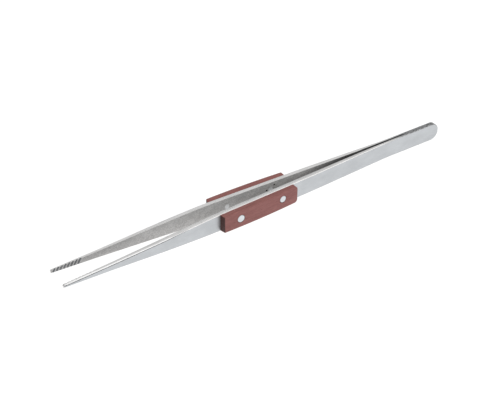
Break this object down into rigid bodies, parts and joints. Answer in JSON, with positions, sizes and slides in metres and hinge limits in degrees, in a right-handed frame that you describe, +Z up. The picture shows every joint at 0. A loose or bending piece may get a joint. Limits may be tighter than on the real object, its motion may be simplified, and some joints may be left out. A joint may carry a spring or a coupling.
{
  "type": "precision tweezers",
  "caption": "Long slim steel tweezers with fine serrated tips and riveted red-brown fibre grips; squeeze the grips and the arms flex until the tips meet.",
  "frame": {"origin": "middle of the tool's outline, at the level of the long edges that it lies on", "axes": "+X runs from the tips to the welded heel, +Y from the front arm to the rear arm, +Z up, square to the plane in which the arms open"},
  "size_m": [0.2, 0.0158, 0.0086],
  "materials": {
    "stainless_steel": "satin, ground edges",
    "red_fibre": "sanded vulcanised fibre",
    "rivet_aluminium": "ground flush"
  },
  "bodies": {
    "heel": {"front_arm_heel": "stainless_steel", "rear_arm_heel": "stainless_steel"},
    "front_arm": {"front_arm_blade": "stainless_steel", "front_grip_pad": "red_fibre", "front_tip_side_rivet": "rivet_aluminium", "front_heel_side_rivet": "rivet_aluminium"},
    "rear_arm": {"rear_arm_blade": "stainless_steel", "rear_grip_pad": "red_fibre", "rear_tip_side_rivet": "rivet_aluminium", "rear_heel_side_rivet": "rivet_aluminium"}
  },
  "joints": [
    {"name": "front_arm_squeeze", "type": "hinge", "parent": "heel", "child": "front_arm", "pos_m": [0.0482, -0.00083, 0.0043], "axis": [0, 0, -1], "range_deg": [0, 2.01], "stiffness_Nm_per_rad": 5.9},
    {"name": "rear_arm_squeeze", "type": "hinge", "parent": "heel", "child": "rear_arm", "pos_m": [0.0482, 0.00083, 0.0043], "axis": [0, 0, 1], "range_deg": [0, 2.01], "stiffness_Nm_per_rad": 5.9}
  ],
  "couplings": [
    {"joint": "rear_arm_squeeze", "follows": "front_arm_squeeze", "ratio": 1}
  ]
}
